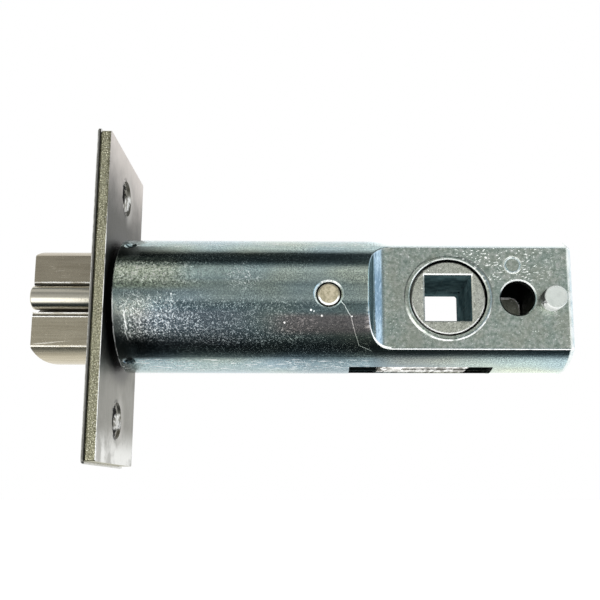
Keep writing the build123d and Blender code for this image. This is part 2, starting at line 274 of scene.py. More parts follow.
    def lay(self, mask, color=None, rough=None, metal=None):
        if color is not None:
            self.c = self.mix(mask, self.c, color)
        if rough is not None:
            self.r = self.lerp(mask, self.r, rough)
        if metal is not None:
            self.k = self.lerp(mask, self.k, metal)

    def shade(self, fac):
        n = self.node("ShaderNodeMix")
        n.data_type = "RGBA"
        n.blend_type = "MULTIPLY"
        n.inputs[0].default_value = 1.0
        self.put(n.inputs[6], self.c if not isinstance(self.c, tuple) else (*self.c, 1.0))
        self.put(n.inputs[7], fac)
        self.c = n.outputs[2]

    def done(self, normal=None):
        return self.set(self.c, self.r, normal, self.k)

    def set(self, color=None, rough=None, normal=None, metallic=None):
        if color is not None:
            self.put(self.p.inputs["Base Color"], color if not isinstance(color, tuple) else (*color, 1.0))
        if rough is not None:
            self.put(self.p.inputs["Roughness"], rough)
        if normal is not None:
            self.put(self.p.inputs["Normal"], normal)
        if metallic is not None:
            self.put(self.p.inputs["Metallic"], metallic)
        return self.m


# ------------------------------------------------------------------- materials
MM = 0.001
WHITE = (0.94, 0.94, 0.915)


def zinc_case():
    """Bright zinc plate: drawn tube with rub marks, milled tail flats; painted highlights on the edges, painted shade
    near the faceplate, under the tail and inside.
    """
    a = Mat("zinc_case")
    X, Y, Z = a.sep(a.co)
    aY, aZ = a.math("ABSOLUTE", Y), a.math("ABSOLUTE", Z)
    R = a.hyp(Y, Z)
    # cast of the plating: blue, grey-green and straw, in clouds drawn out along the tube
    cloud = a.noise(1.0, 1.5, 0.5, vec=a.map(scale=(55, 120, 120)))
    tint = a.ramp(cloud, [(0.32, (0.43, 0.58, 0.65)), (0.46, (0.48, 0.62, 0.635)), (0.56, (0.52, 0.64, 0.60)), (0.70, (0.59, 0.67, 0.55))])
    a.base(tint, 0.10)
    # tints placed by position along and round the tube: straw and darker blue bands high near the front, bluish and
    # pinkish bands low, dark blue on the underside before the flats
    straw = a.mul(a.rng(X, 22 * MM, 14 * MM), a.band(Z, 1.2 * MM, 5.2 * MM, 1.5 * MM))
    a.lay(a.mul(straw, 0.7), (0.64, 0.70, 0.56))
    low = a.band(Z, -8.0 * MM, -3.8 * MM, 1.2 * MM)
    a.lay(a.mul(low, a.rng(X, 5 * MM, 10 * MM), a.rng(X, 31 * MM, 22 * MM), 0.45), (0.56, 0.57, 0.63))
    a.lay(a.mul(a.band(Z, -6.2 * MM, -4.4 * MM, 1.2 * MM), a.rng(X, 27 * MM, 34 * MM), a.rng(X, 47.5 * MM, 46 * MM), 0.8), (0.72, 0.57, 0.55))
    a.lay(a.mul(a.band(X, 17 * MM, 27 * MM, 5 * MM), a.band(Z, 2.4 * MM, 6.0 * MM, 1.2 * MM), 0.62), (0.36, 0.515, 0.565))
    a.lay(a.mul(a.rng(Z, -9.8 * MM, -10.4 * MM), a.rng(X, 29 * MM, 38 * MM), a.rng(X, 52 * MM, 47 * MM), 0.9), (0.30, 0.42, 0.47))
    # painted shade on the underside of the tail, darkest towards its front
    under = a.ramp(a.rng(X, 46 * MM, 74 * MM, smooth=False), [(0.0, (0.85, 0.83, 0.84)), (0.18, (0.62, 0.57, 0.58)), (0.36, (0.64, 0.58, 0.58)),
                                                              (0.52, (0.82, 0.74, 0.71)), (0.75, (1.0, 0.94, 0.88)), (1.0, (1, 1, 1))])
    a.shade(a.mix(a.mul(a.rng(X, 46 * MM, 48 * MM), a.rng(Z, -9.0 * MM, -9.4 * MM)), (1, 1, 1), under))
    # drawing streaks along X and a fine grain
    streak = a.noise(1.0, 4.0, 0.65, vec=a.map(scale=(70, 3000, 3000)))
    grain = a.noise(4300, 2.0, 0.65)
    mott = a.noise(1500, 3.0, 0.6)
    patch = a.rng(a.noise(190, 2.0), 0.40, 0.60)
    a.shade(a.ramp(streak, [(0.28, (0.84, 0.86, 0.88)), (0.5, (1, 1, 1)), (0.74, (1.15, 1.15, 1.12))]))
    a.shade(a.mix(a.rng(patch, 0, 1, 0.55, 1.0), (1, 1, 1),
                  a.ramp(grain, [(0.30, (0.46, 0.48, 0.49)), (0.5, (0.97, 0.97, 0.97)), (0.68, (1.62, 1.62, 1.56))])))
    coarse = a.noise(2300, 3.0, 0.7)
    a.shade(a.mix(a.mul(a.rng(X, 26 * MM, 9 * MM), a.band(Z, 1.0 * MM, 5.6 * MM, 1.0 * MM)), (1, 1, 1),
                  a.ramp(coarse, [(0.38, (0.45, 0.49, 0.43)), (0.5, (1, 1.02, 1)), (0.60, (1.6, 1.64, 1.52))])))
    a.r = a.rng(streak, 0.3, 0.7, 0.07, 0.15, False)

    haze = a.mul(a.rng(X, 17 * MM, 4.5 * MM), a.band(Z, -3.6 * MM, -2.0 * MM, 1.5 * MM), a.rng(mott, 0.36, 0.60, 0.35, 1.0))
    a.lay(a.mul(haze, 0.34), (0.68, 0.69, 0.60), 0.3, 0.45)
    # painted shade on the tube next to the faceplate: dark low and high, a darker band across the middle, darker and
    # warmer towards the bottom, a dark patch low at the front
    painted_plate_shade = a.mul(a.rng(X, 18 * MM, 4.5 * MM), a.top(a.rng(Z, -6.2 * MM, -8.2 * MM), a.mul(a.rng(Z, 5.9 * MM, 6.9 * MM), a.rng(Z, 9.2 * MM, 8.6 * MM))), a.rng(Z, -10.6 * MM, -10.2 * MM))
    a.lay(a.mul(painted_plate_shade, 0.92), (0.045, 0.056, 0.054))
    a.shade(a.mix(a.mul(a.rng(X, 20 * MM, 5 * MM), a.band(Z, -0.8 * MM, 1.2 * MM, 1.2 * MM)), (1, 1, 1), (0.70, 0.71, 0.68)))
    painted_front_shade = a.ramp(a.rng(Z, 0, -11 * MM, smooth=False), [(0.0, (1, 1, 1)), (0.07, (1.0, 0.97, 0.93)), (0.22, (1.0, 0.92, 0.82)), (0.45, (0.80, 0.69, 0.63)),
                                                        (0.67, (0.64, 0.59, 0.56)), (0.82, (0.75, 0.73, 0.71)), (0.95, (1, 1, 1))])
    a.shade(a.mix(a.rng(X, 11 * MM, 7.5 * MM), (1, 1, 1), painted_front_shade))
    a.lay(a.mul(a.rng(X, 6.2 * MM, 4.4 * MM), a.rng(Z, -1.8 * MM, -5.0 * MM), 0.8), (0.09, 0.105, 0.10))
    # rub marks: fine curls and dots, thick low on the front half
    out = a.rng(R, 11.7 * MM, 11.8 * MM)
    body = a.mul(out, a.rng(X, 46.9 * MM, 46.4 * MM))
    zoneA = a.mul(a.rng(X, 3.5 * MM, 6.0 * MM), a.rng(X, 29 * MM, 10 * MM), a.rng(Z, -8.9 * MM, -6.0 * MM), a.rng(Z, 1.2 * MM, -2.0 * MM))
    zoneB = a.mul(a.rng(a.hyp(a.math("SUBTRACT", X, 25.2 * MM), a.mul(a.math("SUBTRACT", Z, 2.6 * MM), 1.25)), 4.6 * MM, 1.2 * MM), a.rng(Y, 1 * MM, -1 * MM))
    zoneC = a.mul(a.rng(X, 3.5 * MM, 5 * MM), a.rng(X, 24 * MM, 15 * MM), a.band(Z, 1.5 * MM, 5.0 * MM, 0.7 * MM))
    zoneD = a.mul(a.rng(X, 12 * MM, 20 * MM), a.rng(X, 44 * MM, 30 * MM), a.band(Z, -7.6 * MM, -1.6 * MM, 1.3 * MM))
    c1 = a.curl(1350, 0.016, 0.53)
    c2 = a.curl(2200, 0.015, 0.53, (0.11, 0.07, 0.03))
    c3 = a.curl(3300, 0.018, 0.54, (0.21, 0.03, 0.13))
    d1 = a.dots(3900, 0.32, 0.20)
    d2 = a.dots(2300, 0.22, 0.13, (0.05, 0.02, 0.07))
    d3 = a.dots(5600, 0.40, 0.28, (0.01, 0.06, 0.02))
    s1 = a.lines((0, 58, 0), 4200, 1050, 0.66, 0.06, 0.0007, 420)
    s2 = a.lines((0, -35, 0), 4400, 1150, 0.665, 0.06, 0.0007, 380)
    s3 = a.lines((0, 14, 0), 4600, 1000, 0.675, 0.06, 0.0007, 450)
    s4 = a.lines((0, 97, 0), 4300, 1200, 0.67, 0.06, 0.0007, 400)
    curls = a.mul(a.top(a.mul(c1, 0.5), a.mul(c2, 0.5), a.mul(c3, 0.55), s1, s2, a.mul(s3, 0.8), s4), a.rng(a.noise(2400, 2.0), 0.40, 0.60, 0.15, 1.0))
    thick = a.rng(patch, 0, 1, 0.70, 1.0)
    marks = a.mul(curls, a.top(a.mul(zoneA, thick, 0.62), a.mul(zoneB, 0.50), a.mul(zoneC, 0.30), a.mul(zoneD, 0.24), 0.04))
    marks = a.top(marks, a.mul(a.top(d1, a.mul(d3, 0.8)), a.top(a.mul(zoneA, thick, 0.8), a.mul(zoneB, 0.5), a.mul(zoneC, 0.45), a.mul(zoneD, 0.34), 0.12)))
    marks = a.top(marks, a.mul(d2, a.top(zoneA, a.mul(zoneD, 0.6), 0.15)))
    ends = a.top(a.rng(Z, 8.7 * MM, 9.0 * MM), a.rng(Z, -10.3 * MM, -10.6 * MM))
    scrib = a.mul(a.lines((0, 3, 0), 3600, 520, 0.62, 0.10, 0.0008, 300), 0.75)
    strip = a.mul(ends, a.top(d1, a.mul(d3, 0.8), scrib))
    marks = a.mul(a.top(marks, a.mul(strip, a.rng(Y, 1 * MM, -4 * MM, 0.2, 0.8))), body)
    # single scratches and nicks
    j = a.vadd(a.co, a.noise3(1500, 2.0), 0.00028)
    j2 = a.vadd(a.co, a.noise3(2600, 2.0), 0.0005)
    single = a.top(a.mul(a.seg((0.00565, -0.0026), (0.00612, -0.0062), 0.00019, j2), a.rng(a.noise(2300, 2.0), 0.34, 0.52, 0.35, 1.0)),
                   a.mul(a.seg((0.00565, -0.0058), (0.00600, -0.0078), 0.00013, j), 0.5),
                   a.mul(a.seg((0.00650, -0.0060), (0.00645, -0.0074), 0.00012, j), 0.45),
                   a.mul(a.seg((0.0415, -0.0012), (0.0433, -0.0040), 0.00009, j), 0.6),
                   a.mul(a.seg((0.0431, -0.0034), (0.0439, -0.0062), 0.00009, j), 0.55),
                   a.mul(a.seg((0.0437, -0.0057), (0.0448, -0.0086), 0.00008, j), 0.35),
                   a.mul(a.seg((0.0446, -0.0083), (0.0476, -0.0094), 0.00008, j), 0.30))
    single = a.top(single, a.mul(a.spot(0.0365, -0.0031, 0.00024), 0.9), a.mul(a.spot(0.0370, -0.0033, 0.00018), 0.7), a.mul(a.spot(0.0383, -0.0040, 0.00022), 0.8),
                   a.mul(a.spot(0.0321, -0.0051, 0.00020), 0.9), a.mul(a.spot(0.0133, -0.0005, 0.00024), 0.6), a.spot(0.0433, -0.0041, 0.00016))
    rubbed = a.mul(a.rng(X, 45.2 * MM, 46.4 * MM), a.band(Z, -5.2 * MM, -3.0 * MM, 1.4 * MM), a.rng(a.noise(1.0, 2.0, 0.6, vec=a.map(rot=(0, 35, 0), scale=(900, 900, 3400))), 0.38, 0.62))
    near = a.rng(Y, 0.0, -2 * MM)
    single = a.top(single, a.mul(rubbed, 0.6))
    single = a.mul(single, body, near)
    fleck = a.math("MINIMUM", a.top(marks, single), 1.0)

    # hollow at the flats' front end: painted shade where it rises, painted blue-white reflection below, streaked dark
    # and bright
    dx = a.math("SUBTRACT", X, 50.15 * MM)
    hol = a.math("SUBTRACT", 11.9 * MM, a.math("SQRT", a.math("MAXIMUM", a.math("SUBTRACT", 16e-6, a.mul(dx, dx)), 0.0)))
    gap = a.math("ABSOLUTE", a.math("SUBTRACT", aY, hol))
    hollow = a.mul(a.rng(gap, 0.12 * MM, 0.06 * MM), a.rng(X, 50.1 * MM, 49.9 * MM), a.rng(R, 11.85 * MM, 11.75 * MM))
    vert = a.noise(1.0, 3.0, 0.6, vec=a.map(scale=(2600, 2600, 120)))
    hollow_tone_and_reflection = a.mix(a.rng(aZ, 2.5 * MM, 6.5 * MM), (0.42, 0.51, 0.53), (0.88, 0.93, 0.86))
    hollow_tone_and_reflection = a.mix(a.rng(vert, 0.55, 0.40, 0.0, 0.5), hollow_tone_and_reflection, (0.28, 0.36, 0.38))
    hollow_tone_and_reflection = a.mix(a.rng(X, 48.3 * MM, 49.0 * MM), hollow_tone_and_reflection, (0.58, 0.67, 0.59))
    hollow_tone_and_reflection = a.mix(a.rng(a.noise(1.0, 3.0, 0.7, vec=a.map(scale=(4200, 4200, 1300))), 0.50, 0.34, 0.0, 0.65), hollow_tone_and_reflection, (0.20, 0.27, 0.30))
    hollow_tone_and_reflection = a.mix(a.rng(a.noise(1.0, 3.0, 0.7, vec=a.map(loc=(0.4, 0.1, 0.2), scale=(3800, 3800, 900))), 0.52, 0.66, 0.0, 0.7), hollow_tone_and_reflection, (0.92, 0.97, 0.94))
    a.lay(hollow, hollow_tone_and_reflection, 0.14)
    painted_rise_shade = a.rng(a.math("ADD", X, a.mul(a.math("SUBTRACT", vert, 0.5), 0.5 * MM)), 47.25 * MM, 46.85 * MM)
    a.lay(a.mul(hollow, painted_rise_shade), a.mix(a.rng(vert, 0.40, 0.62), (0.035, 0.055, 0.055), (0.16, 0.21, 0.21)), 0.2)
    a.lay(a.mul(hollow, a.band(X, 48.65 * MM, 48.95 * MM, 0.3 * MM), a.rng(a.noise(5200, 2.0), 0.35, 0.65, 0.25, 0.75)), (0.22, 0.27, 0.24), 0.3)

    # milled flats
    lead = a.math("ADD", X, a.mul(a.math("SUBTRACT", grain, 0.5), 0.9 * MM))
    flat = a.mul(a.band(aY, 7.86 * MM, 8.12 * MM, 0.03 * MM), a.rng(lead, 48.75 * MM, 49.2 * MM), a.rng(aZ, 8.85 * MM, 8.75 * MM))
    fm = a.noise(230, 3.0, 0.6)
    fcol = a.ramp(mott, [(0.28, (0.33, 0.405, 0.345)), (0.48, (0.61, 0.71, 0.615)), (0.66, (0.96, 1.0, 0.93))])
    a.lay(flat, fcol)
    a.lay(a.mul(flat, a.rng(fm, 0.44, 0.66, 0.0, 0.50)), (0.66, 0.69, 0.57))
    a.lay(a.mul(flat, a.rng(fm, 0.50, 0.30, 0.0, 0.50)), (0.44, 0.57, 0.51))
    a.r = a.lerp(flat, a.r, a.rng(grain, 0.3, 0.7, 0.24, 0.36, False))
    dm = a.away(0.0712, 0.0058)
    up = a.mul(a.rng(X, 58 * MM, 64 * MM), a.rng(X, 79 * MM, 73 * MM, 0.25, 1.0), a.band(Z, 3.6 * MM, 8.6 * MM, 1.6 * MM), a.rng(dm, 1.5 * MM, 2.1 * MM))
    foot = a.mul(a.band(X, 50.2 * MM, 52.4 * MM, 1.0 * MM), a.band(Z, -6.2 * MM, -3.6 * MM, 1.2 * MM))
    f1 = a.mul(a.lines((0, 11, 0), 4200, 1700, 0.66, 0.05), a.top(a.mul(up, 0.85), 0.12))
    f2 = a.mul(a.dots(2100, 0.27, 0.14, (0.3, 0.3, 0.1)), a.top(a.mul(up, 0.6), foot, 0.6))
    f3 = a.mul(a.dots(3900, 0.34, 0.22, (0.2, 0.1, 0.5)), a.top(a.mul(up, 0.5), a.mul(foot, 0.9), 0.45))
    fleck = a.top(fleck, a.mul(flat, a.top(f1, f2, f3), 0.85))

    # painted shade inside the tube, the hub bore and the holes
    dh, df, dp = a.away(0.060, 0), a.away(0.072, 0), a.away(0.03945, -0.00045)
    painted_inside_shade = a.top(a.mul(a.rng(R, 11.55 * MM, 11.4 * MM), a.rng(aY, 7.6 * MM, 7.5 * MM)), a.rng(R, 10.95 * MM, 10.85 * MM))
    painted_inside_shade = a.mul(painted_inside_shade, a.rng(aY, 7.62 * MM, 7.5 * MM), a.rng(X, 80.8 * MM, 80.5 * MM))
    painted_inside_shade = a.top(painted_inside_shade, a.rng(dh, 6.74 * MM, 6.70 * MM), a.mul(a.rng(df, 3.05 * MM, 3.01 * MM), a.rng(Y, 0, -1 * MM)),
                a.rng(dp, 2.16 * MM, 2.12 * MM))
    bore = a.mul(a.rng(R, 11.0 * MM, 10.85 * MM), a.rng(X, 44 * MM, 43 * MM))
    painted_inside_shade = a.top(painted_inside_shade, bore)

    # painted highlights on the edges
    brk = a.rng(a.noise(900, 2.0, 0.6), 0.32, 0.50, 0.45, 1.0)
    # along the flats' edges
    ease = a.mul(a.band(aY, 7.74 * MM, 7.85 * MM, 0.03 * MM), a.rng(X, 49.2 * MM, 50.2 * MM), a.rng(aZ, 8.5 * MM, 8.7 * MM))
    # round the hollow at the flats' front end
    crown = a.mul(a.rng(gap, 0.22 * MM, 0.08 * MM), a.rng(R, 11.66 * MM, 11.76 * MM), a.band(X, 45.9 * MM, 50.0 * MM, 0.15 * MM))
    crown = a.mul(crown, a.rng(Z, 0.0, -5 * MM, 0.18, 0.95))
    # rim of the hub bore, its raised land, fixing hole, pin hole, tube mouth, tail end
    rimt = a.mul(a.band(dh, 6.76 * MM, 6.90 * MM, 0.04 * MM), a.rng(Z, 0.5 * MM, 4 * MM, 0.05, 0.75))
    land = a.mul(a.band(dh, 7.36 * MM, 7.58 * MM, 0.06 * MM), a.rng(aY, 7.8 * MM, 7.85 * MM), a.rng(Z, -0.5 * MM, -4.0 * MM))
    land = a.mul(land, a.rng(a.noise(420, 2.0), 0.30, 0.46, 0.35, 1.0))
    fixr = a.mul(a.band(df, 3.02 * MM, 3.26 * MM, 0.03 * MM), a.rng(Z, 0.3 * MM, 1.8 * MM), a.rng(Y, 0, -1 * MM))
    pinr = a.mul(a.band(dp, 2.18 * MM, 2.44 * MM, 0.06 * MM), a.top(a.rng(Z, 0.3 * MM, 1.3 * MM), a.mul(a.rng(X, 38.0 * MM, 37.3 * MM), 0.6), 0.16),
                 a.rng(a.noise(1100, 2.0), 0.36, 0.48, 0.20, 1.0))
    mouth = a.mul(a.rng(X, 3.72 * MM, 3.62 * MM), a.rng(R, 11.55 * MM, 11.65 * MM), 0.75)
    end = a.mul(a.rng(X, 80.45 * MM, 80.75 * MM), a.rng(a.noise(700, 2.0), 0.3, 0.6, 0.6, 1.0))
    # painted highlight on the tail's end face
    a.lay(end, (0.70, 0.73, 0.71), 0.5, 0.15)
    # painted highlight on the raised lip of the punch mark
    punch = a.mul(a.band(dm, 1.22 * MM, 1.56 * MM, 0.08 * MM), a.rng(Y, 0, -1 * MM), a.rng(a.noise(2600, 2.0, 0.6), 0.36, 0.56, 0.45, 1.0), a.top(a.rng(Z, 6.0 * MM, 6.8 * MM), a.rng(Z, 5.4 * MM, 4.7 * MM), 0.5))
    edge = a.top(a.mul(a.top(ease, crown), a.rng(brk, 0, 1, 0.6, 1.0)), a.mul(rimt, brk), a.mul(land, 0.8), a.mul(fixr, 0.85), a.mul(pinr, 0.85), a.mul(mouth, brk, a.rng(Z, 1 * MM, -2 * MM, 0.25, 0.9)), a.mul(punch, 0.72))
    # painted shade on the right side of the raised land
    a.lay(a.mul(a.band(dh, 7.15 * MM, 7.66 * MM, 0.05 * MM), a.rng(aY, 7.75 * MM, 7.8 * MM), a.rng(X, 60.5 * MM, 63.5 * MM), 0.8), (0.36, 0.40, 0.36), 0.45)
    # painted shadow along the land's upper side
    shadow = a.mul(a.band(dh, 7.45 * MM, 7.62 * MM, 0.05 * MM), a.rng(aY, 7.8 * MM, 7.85 * MM), a.rng(Z, -2.5 * MM, 0.0), a.rng(X, 58 * MM, 55 * MM))
    a.lay(a.mul(shadow, 0.75), (0.10, 0.11, 0.10), 0.4)
    # painted highlight along the top of the tail
    a.lay(a.mul(a.rng(X, 46.5 * MM, 50 * MM), a.rng(Z, 8.85 * MM, 9.0 * MM), a.rng(aY, 7.6 * MM, 7.5 * MM), 0.8), (0.95, 0.97, 0.94))
    a.lay(a.mul(fleck, 0.96), WHITE, 0.5, 0.05)
    # painted highlights on the edges, then painted shade inside
    a.lay(edge, WHITE, 0.45, 0.08)
    a.lay(painted_inside_shade, (0.020, 0.027, 0.027), 0.5, 0.9)
    h = a.math("ADD", a.mul(streak, 0.35), a.mul(grain, 0.30))
    h = a.math("ADD", h, a.mul(a.noise(700, 3.0), 0.55))
    nrm = a.bump(h, 0.20, 0.00010)
    nrm = a.bump(fleck, 0.30, 0.00004, nrm)
    return a.done(nrm)


def satin(name, lo, hi, rough, streak=(300, 1400, 1400), bump=0.2, dark=None, speck=0.0, metal=1.0, grit=0.4, extra=None):
    """Satin metal with fine streaks, grain and light specks; extra adds layers of its own."""
    a = Mat(name)
    s = a.noise(1.0, 4.0, 0.6, vec=a.map(scale=streak))
    g = a.noise(2600, 3.0, 0.6)
    c = a.noise(180, 3.0, 0.5)
    col = a.mix(a.rng(s, 0.3, 0.7), lo, hi)
    col = a.mix(a.rng(g, 0.62, 0.3, 0.0, grit), col, dark or tuple(v * 0.55 for v in lo))
    col = a.mix(a.rng(c, 0.35, 0.7, 0.0, 0.25), col, tuple(min(1, v * 1.15) for v in hi))
    a.base(col, a.rng(g, 0.25, 0.75, rough * 0.8, rough * 1.25, False), metal)
    if speck:
        a.lay(a.mul(a.top(a.dots(1800, 0.24, 0.14), a.mul(a.dots(3600, 0.32, 0.22, (0.1, 0.2, 0.3)), 0.6)), speck), WHITE, 0.5, 0.1)
    h = a.math("ADD", a.mul(s, 0.6), a.mul(g, 0.5))
    a.grain, a.streak = g, s
    if extra:
        extra(a)
    return a.done(a.bump(h, bump, 0.0001))


def on_hub(a):
    """Painted shade in the square socket and in the gap round the hub, painted highlights on the rims."""
    X, Y, Z = a.sep(a.co)
    ax = a.math("ABSOLUTE", a.math("SUBTRACT", X, 0.060))
    az = a.math("ABSOLUTE", Z)
    big = a.top(ax, az)
    d = a.away(0.060, 0)
    brk = a.rng(a.noise(1000, 2.0), 0.30, 0.45, 0.5, 1.0)
    # painted highlight on the hub's rim below, painted shade in the gap round the hub (paler to the left), painted
    # highlight on the top chamfer of the square, painted shade inside the square
    a.lay(a.mul(a.band(d, 6.17 * MM, 6.33 * MM, 0.03 * MM), a.rng(Z, 1.0 * MM, -3.0 * MM, 0.06, 0.95), brk), WHITE, 0.45, 0.08)
    a.lay(a.rng(d, 6.34 * MM, 6.37 * MM), a.mix(a.rng(X, 57.5 * MM, 55.5 * MM), (0.02, 0.02, 0.02), (0.42, 0.44, 0.39)), 0.5)
    a.lay(a.mul(a.band(big, 4.09 * MM, 4.27 * MM, 0.03 * MM), a.top(a.rng(Z, 3.6 * MM, 4.0 * MM), 0.18)), WHITE, 0.45, 0.08)
    a.lay(a.rng(big, 4.08 * MM, 4.05 * MM), (0.014, 0.034, 0.038), 0.35)


def on_pin(a):
    """Round end with a turned rim: painted highlight on the rim below, painted shade on the rim above and in the ring
    round it.
    """
    X, Y, Z = a.sep(a.co)
    d = a.away(0.03945, -0.00045)
    a.lay(a.mul(a.rng(a.noise(1300, 3.0), 0.42, 0.6), 0.5), (0.62, 0.55, 0.40))
    # painted highlight on the rim below, painted shade on the rim above and in the ring round the end
    rim = a.band(d, 1.58 * MM, 1.82 * MM, 0.04 * MM)
    a.lay(a.mul(rim, a.rng(Z, -0.4 * MM, -1.3 * MM)), WHITE, 0.4, 0.05)
    a.lay(a.mul(rim, a.rng(Z, -0.6 * MM, 0.4 * MM), 0.5), (0.16, 0.14, 0.10))
    a.lay(a.rng(d, 1.84 * MM, 1.86 * MM), (0.02, 0.02, 0.02), 0.5)


def on_peg(a):
    """Pale domed end; painted highlight on the side below, streaked dark, and painted shade on the side to the left."""
    X, Y, Z = a.sep(a.co)
    d = a.away(0.0778, -0.00035)
    side = a.rng(d, 1.90 * MM, 1.97 * MM)
    # painted shade on the side above, painted highlight on the side below, streaked dark
    a.lay(a.mul(side, a.rng(Z, -1.7 * MM, -0.9 * MM)), (0.02, 0.02, 0.02), 0.5)
    a.lay(a.mul(side, a.rng(Z, -0.9 * MM, -1.3 * MM)), (0.95, 0.95, 0.93), 0.4, 0.05)
    a.lay(a.mul(side, a.rng(Z, -2.0 * MM, -1.2 * MM), a.rng(a.noise(1.0, 2.0, 0.6, vec=a.map(rot=(0, 30, 0), scale=(500, 1500, 2600))), 0.50, 0.56)), (0.02, 0.02, 0.02), 0.5)
    a.lay(a.mul(a.rng(a.noise(700, 3.0), 0.45, 0.65), 0.35), (0.44, 0.47, 0.44))


def on_backing(a):
    """Sheared olive edge; grey rear face with painted shade round and above the tube and painted highlights towards its
    top and bottom; screw holes with painted shade and highlights.
    """
    X, Y, Z = a.sep(a.co)
    R = a.hyp(Y, Z)
    # granular edge
    edge = a.rng(Y, -12.3 * MM, -12.45 * MM)
    gr = a.noise(5200, 2.0, 0.7)
    a.lay(a.mul(edge, a.rng(gr, 0.46, 0.34, 0.0, 0.65)), (0.16, 0.145, 0.080), 0.5)
    a.lay(a.mul(edge, a.rng(gr, 0.52, 0.62, 0.0, 0.85)), (0.97, 0.94, 0.72), 0.4, 0.45)
    a.lay(a.mul(edge, a.dots(3000, 0.28, 0.16), 0.8), WHITE, 0.5, 0.1)
    a.lay(a.mul(edge, a.rng(X, 1.75 * MM, 2.1 * MM), a.rng(Z, 9 * MM, 14 * MM), a.rng(a.noise(1.0, 3.0, 0.7, vec=a.map(scale=(3000, 3000, 900))), 0.40, 0.62, 0.15, 0.75)), (0.10, 0.093, 0.06), 0.5)
    # rear face
    rear = a.rng(X, 2.24 * MM, 2.28 * MM)
    soft = a.noise(1.0, 3.0, 0.55, vec=a.map(scale=(300, 420, 55)))
    blot = a.noise(260, 3.0, 0.6)
    grey = a.ramp(soft, [(0.3, (0.105, 0.102, 0.083)), (0.5, (0.145, 0.141, 0.118)), (0.7, (0.205, 0.199, 0.172))])
    a.lay(rear, grey, 0.46)
    a.lay(a.mul(rear, a.rng(blot, 0.40, 0.62, 0.0, 0.5)), (0.24, 0.233, 0.203), 0.5)
    a.lay(a.mul(rear, a.rng(blot, 0.50, 0.30, 0.0, 0.5)), (0.13, 0.128, 0.10), 0.45)
    # painted shade above and round the tube; painted highlight towards the top, paler towards the bottom
    a.lay(a.mul(rear, a.rng(Z, 4 * MM, 9 * MM), 0.95), (0.036, 0.035, 0.027), 0.50)
    a.lay(a.mul(rear, a.rng(Z, -12 * MM, -16 * MM), 0.4), (0.27, 0.262, 0.228), 0.46)
    a.lay(a.mul(rear, a.rng(a.math("ADD", Z, a.mul(a.math("SUBTRACT", blot, 0.5), 6 * MM)), 14 * MM, 30 * MM), 0.66), (0.84, 0.77, 0.71), 0.5, 1.0)
    a.lay(a.mul(rear, a.rng(Z, -21 * MM, -27 * MM), a.rng(blot, 0.35, 0.6, 0.3, 0.8)), (0.74, 0.74, 0.71), 0.4)
    a.lay(a.mul(rear, a.rng(R, 15 * MM, 12.2 * MM), 0.7), (0.05, 0.05, 0.045), 0.5)
    # screw holes: painted shade deep in the hole and in jagged teeth round its rim, a painted highlight on its wall, a
    # paler ring on the far side
    for s in (-1, 1):
        zc = s * 0.0205
        dz = a.math("SUBTRACT", Z, zc)
        d = a.hyp(Y, dz)
        hole = a.mul(a.rng(d, 5.2 * MM, 5.0 * MM), a.rng(X, 2.27 * MM, 2.2 * MM))
        a.lay(hole, (0.33, 0.322, 0.285), 0.4)
        jx = a.math("ADD", X, a.mul(a.math("SUBTRACT", a.noise(1300, 3.0, 0.65), 0.5), 2.6 * MM))
        a.lay(a.mul(hole, a.rng(jx, 1.55 * MM, 1.20 * MM), a.rng(a.math("ABSOLUTE", dz), 0.4 * MM, 1.1 * MM)), (0.010, 0.010, 0.009), 0.6)
        glint = a.mul(hole, a.band(dz, -0.9 * MM, 1.0 * MM, 0.7 * MM), a.rng(jx, 0.6 * MM, 1.1 * MM), a.rng(a.noise(1.0, 2.0, 0.6, vec=a.map(scale=(2600, 900, 500))), 0.36, 0.56))
        a.lay(glint, (0.98, 0.98, 0.96), 0.35, 0.6)
        jagged_hole_shade = a.mul(rear, a.rng(d, 4.0 * MM, 3.3 * MM), a.rng(Y, 0.4 * MM, -0.8 * MM), a.rng(a.noise(1100, 3.0, 0.65), 0.47, 0.53), a.rng(a.math("ABSOLUTE", dz), 0.3 * MM, 1.0 * MM))
        a.lay(jagged_hole_shade, (0.012, 0.012, 0.011), 0.6)
        a.lay(a.mul(rear, a.rng(d, 6.0 * MM, 3.3 * MM), a.rng(Y, -0.5 * MM, 2 * MM), 0.45), (0.40, 0.39, 0.36), 0.4)
    # painted highlight along the corner between edge and rear face
    a.lay(a.mul(a.band(X, 2.22 * MM, 2.32 * MM, 0.03 * MM), a.rng(Y, -12.3 * MM, -12.42 * MM), a.rng(Z, 15 * MM, 9 * MM, 0.15, 1.0),
                a.rng(a.noise(700, 2.0), 0.3, 0.5, 0.3, 0.8)), WHITE, 0.45, 0.1)


def on_cover(a):
    X, Y, Z = a.sep(a.co)
    a.lay(a.mul(a.rng(Y, -12.5 * MM, -12.66 * MM), 0.8), (0.44, 0.43, 0.39))
    # painted highlight along the front corner of the edge, painted shade where it meets the backing plate and inside
    # the screw holes
    a.lay(a.mul(a.rng(Y, -12.5 * MM, -12.66 * MM), a.band(X, 0.0, 0.14 * MM, 0.03 * MM), a.rng(a.noise(900, 2.0), 0.4, 0.6, 0.1, 0.55)), WHITE, 0.4, 0.2)
    a.lay(a.mul(a.rng(Y, -12.5 * MM, -12.66 * MM), a.rng(X, 0.34 * MM, 0.44 * MM), 0.95), (0.02, 0.02, 0.018))
    for s in (-1, 1):
        d = a.hyp(Y, a.math("SUBTRACT", Z, s * 0.0205))
        a.lay(a.mul(a.rng(d, 5.4 * MM, 5.2 * MM), a.rng(X, 0.02 * MM, 0.08 * MM), a.rng(a.noise(1200, 2.0), 0.36, 0.48, 0.35, 1.0)), (0.02, 0.02, 0.018), 0.5)


